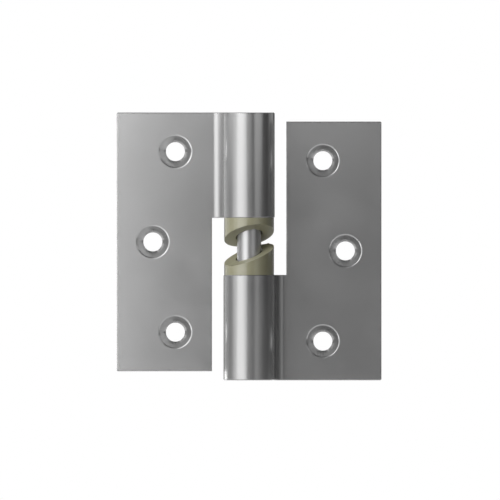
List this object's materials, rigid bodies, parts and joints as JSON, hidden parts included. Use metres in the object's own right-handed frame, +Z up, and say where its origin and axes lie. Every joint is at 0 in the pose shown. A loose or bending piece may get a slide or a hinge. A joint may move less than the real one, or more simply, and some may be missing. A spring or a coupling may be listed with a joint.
{
  "type": "rising butt hinge",
  "caption": "Rising butt hinge: rolled-knuckle sheet leaves with countersunk screw holes, oblique nylon cam bushes and a plain pin; the door leaf climbs as it swings.",
  "frame": {"origin": "on the pin's axis at the hinge's mid height, between the two knuckles", "axes": "+Z up along the pin, from the lower (frame) leaf's knuckle to the upper (door) leaf's; +X from the upper leaf's side to the lower leaf's; the screws go in from the -Y side and the leaves' backs face +Y"},
  "size_m": [0.088, 0.017, 0.089],
  "materials": {
    "stainless_leaf": "satin, fine brushed",
    "steel_pin": "ground",
    "nylon_bush": "moulded, slight sheen",
    "nylon_plug": "moulded, slight sheen"
  },
  "bodies": {
    "frame_leaf": {"lower_leaf": "stainless_leaf", "lower_cam_bush": "nylon_bush", "lower_end_plug": "nylon_plug"},
    "pin": {"hinge_pin": "steel_pin"},
    "door_leaf": {"upper_leaf": "stainless_leaf", "upper_cam_bush": "nylon_bush", "upper_end_plug": "nylon_plug"}
  },
  "joints": [
    {"name": "leaf_swing", "type": "hinge", "parent": "frame_leaf", "child": "pin", "pos_m": [0, 0, 0], "axis": [0, 0, 1], "range_deg": [0, 105.5]},
    {"name": "leaf_rise", "type": "slide", "parent": "pin", "child": "door_leaf", "axis": [0, 0, 1], "range_m": [-0.00615, 0]}
  ],
  "couplings": [
    {"joint": "leaf_rise", "follows": "leaf_swing", "m_per_rad": -0.00334}
  ]
}
